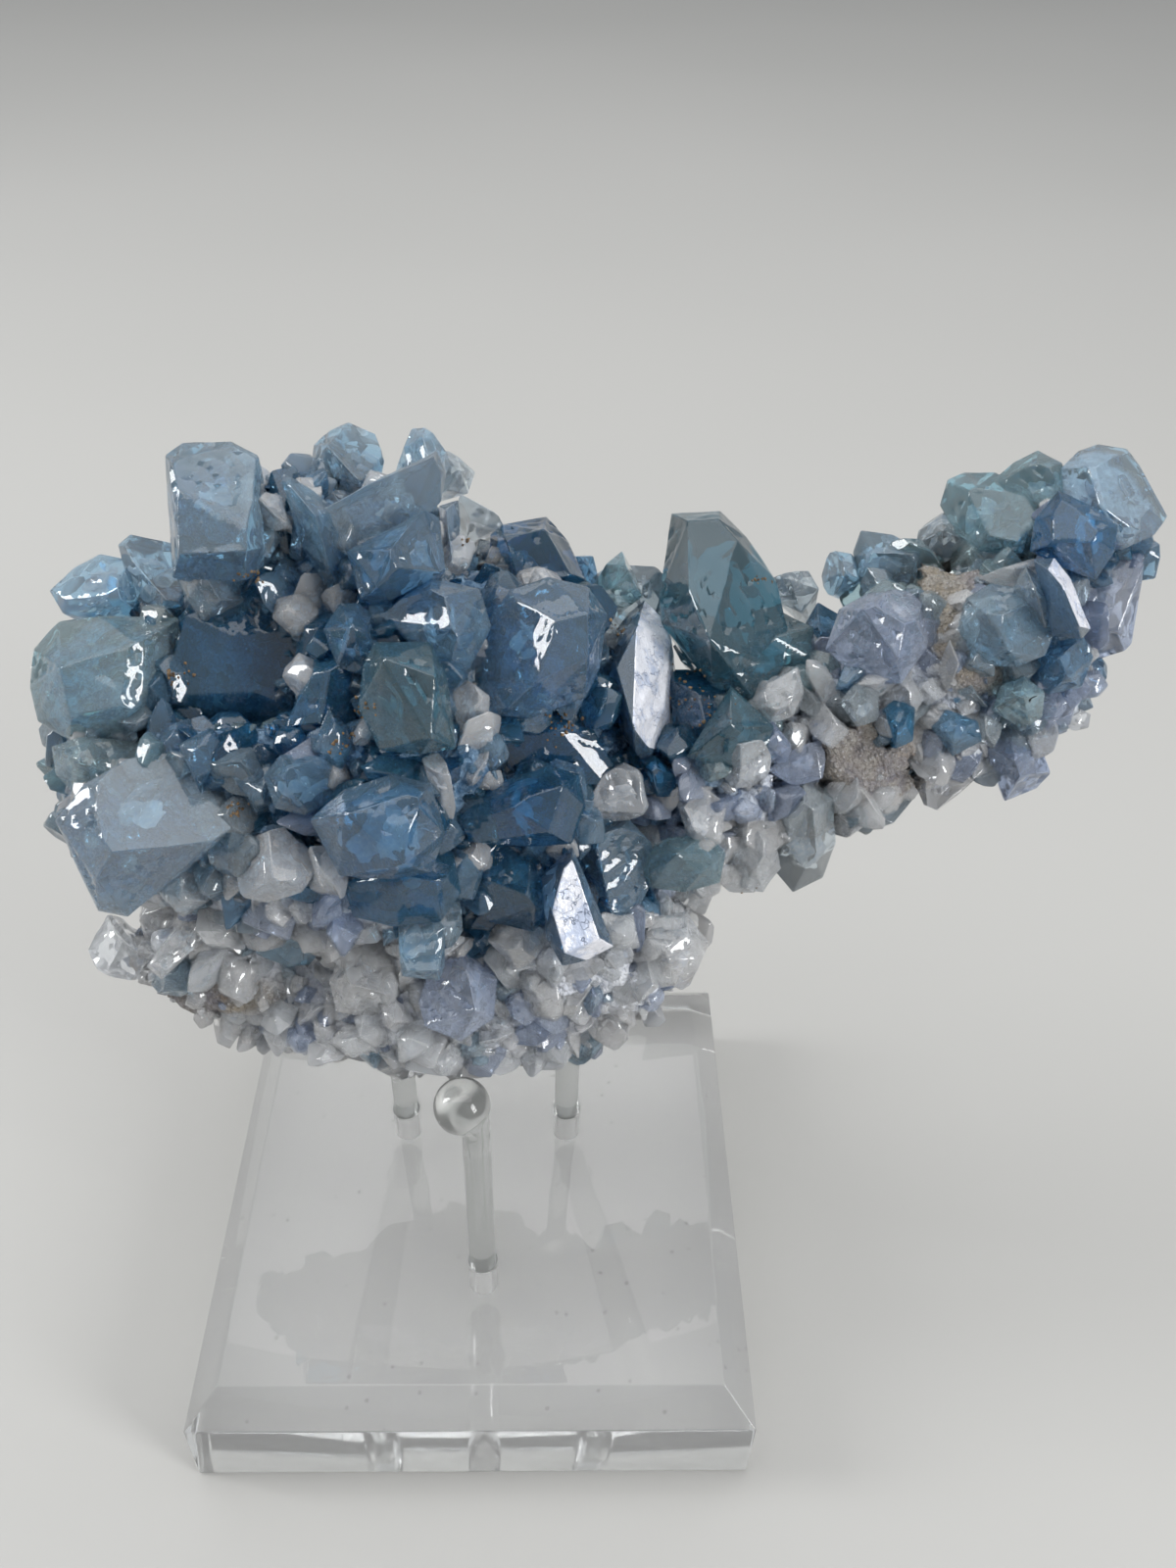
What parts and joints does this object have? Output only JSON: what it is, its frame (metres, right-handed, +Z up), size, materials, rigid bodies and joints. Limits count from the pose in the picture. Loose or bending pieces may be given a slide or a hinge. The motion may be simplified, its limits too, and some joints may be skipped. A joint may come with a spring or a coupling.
{
  "type": "celestite cluster on a clear stand",
  "caption": "Cluster of pale blue celestite crystals on their rock, a rounded mass with an arm rising to the right, resting on ball-tipped clear pegs in a bevelled clear block.",
  "frame": {"origin": "centre of the clear block's underside", "axes": "+X towards the cluster's rising arm, +Y away from the viewer, +Z up"},
  "size_m": [0.1629, 0.0947, 0.1501],
  "materials": {
    "celestite": "glassy crystal faces on pale rock",
    "clear_acrylic": "polished and clear"
  },
  "bodies": {
    "root": {"celestite_cluster": "celestite", "stand_block": "clear_acrylic", "stand_peg_front": "clear_acrylic", "stand_peg_back_left": "clear_acrylic", "stand_peg_back_right": "clear_acrylic"}
  },
  "joints": []
}
